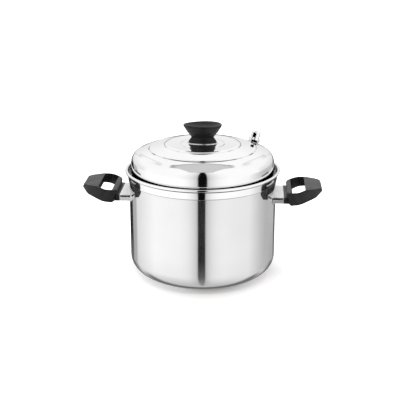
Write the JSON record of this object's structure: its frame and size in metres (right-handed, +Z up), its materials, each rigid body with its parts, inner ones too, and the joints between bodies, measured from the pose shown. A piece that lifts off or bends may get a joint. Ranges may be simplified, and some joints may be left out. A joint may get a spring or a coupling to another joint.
{
  "type": "idli steamer",
  "caption": "Stainless steel idli steamer pot with loop side handles, a stepped dome lid with flared knob and steam vent, and a lift-out stand of cup plates.",
  "frame": {"origin": "centre of the pot's flat base, on the surface that the pot stands on", "axes": "+Z up along the pot's axis, +X from handle to handle, -Y towards the side that the picture shows"},
  "size_m": [0.3404, 0.2208, 0.2155],
  "materials": {
    "polished_steel": "mirror-polished stainless steel",
    "satin_steel": "satin stainless steel",
    "bakelite": "fine matte moulded bakelite",
    "brass": "turned brass",
    "silicone": "translucent grey silicone"
  },
  "bodies": {
    "pot": {"pot_shell": "polished_steel", "handle_ferrule_left": "polished_steel", "handle_ferrule_right": "polished_steel", "handle_bracket_left": "satin_steel", "handle_bracket_right": "satin_steel", "handle_grip_left": "bakelite", "handle_grip_right": "bakelite", "handle_screws": "satin_steel", "handle_screw_washers": "satin_steel"},
    "idli_stand": {"stand_base": "satin_steel", "stand_rod": "satin_steel", "base_nut": "satin_steel", "spacer_1": "satin_steel", "spacer_2": "satin_steel", "spacer_3": "satin_steel", "spacer_4": "satin_steel"},
    "plate_1": {"idli_plate_1": "satin_steel"},
    "plate_2": {"idli_plate_2": "satin_steel"},
    "plate_3": {"idli_plate_3": "satin_steel"},
    "plate_4": {"idli_plate_4": "satin_steel"},
    "captive_washer": {"nut_washer": "satin_steel"},
    "looped_nut": {"lift_nut": "satin_steel"},
    "lid": {"lid_shell": "polished_steel", "lid_knob": "bakelite", "knob_trim": "polished_steel", "knob_insert": "brass", "knob_screw": "satin_steel", "knob_screw_washer": "satin_steel", "vent_nozzle": "polished_steel", "vent_gaskets": "silicone", "vent_nut": "satin_steel"},
    "cap": {"vent_cap": "polished_steel"}
  },
  "joints": [
    {"name": "stand_lift", "type": "slide", "parent": "pot", "child": "idli_stand", "axis": [0, 0, 1], "range_m": [0, 0.2]},
    {"name": "plate_1_turn", "type": "hinge", "parent": "idli_stand", "child": "plate_1", "pos_m": [0, 0, 0.044], "axis": [0, 0, 1], "continuous": true},
    {"name": "plate_2_turn", "type": "hinge", "parent": "idli_stand", "child": "plate_2", "pos_m": [0, 0, 0.072], "axis": [0, 0, 1], "continuous": true},
    {"name": "plate_3_turn", "type": "hinge", "parent": "idli_stand", "child": "plate_3", "pos_m": [0, 0, 0.1], "axis": [0, 0, 1], "continuous": true},
    {"name": "plate_4_turn", "type": "hinge", "parent": "idli_stand", "child": "plate_4", "pos_m": [0, 0, 0.128], "axis": [0, 0, 1], "continuous": true},
    {"name": "nut_rise", "type": "slide", "parent": "idli_stand", "child": "captive_washer", "axis": [0, 0, 1], "range_m": [0, 0.01125]},
    {"name": "nut_turn", "type": "hinge", "parent": "captive_washer", "child": "looped_nut", "pos_m": [0, 0, 0.1303], "axis": [0, 0, 1], "range_deg": [0, 3240]},
    {"name": "lid_lift", "type": "slide", "parent": "idli_stand", "child": "lid", "axis": [0, 0, 1], "range_m": [0, 0.2]},
    {"name": "cap_lift", "type": "slide", "parent": "lid", "child": "cap", "axis": [0.2649, 0.1592, 0.9511], "range_m": [0, 0.02]}
  ],
  "couplings": [
    {"joint": "nut_rise", "follows": "nut_turn", "m_per_rad": 0.00019894}
  ]
}
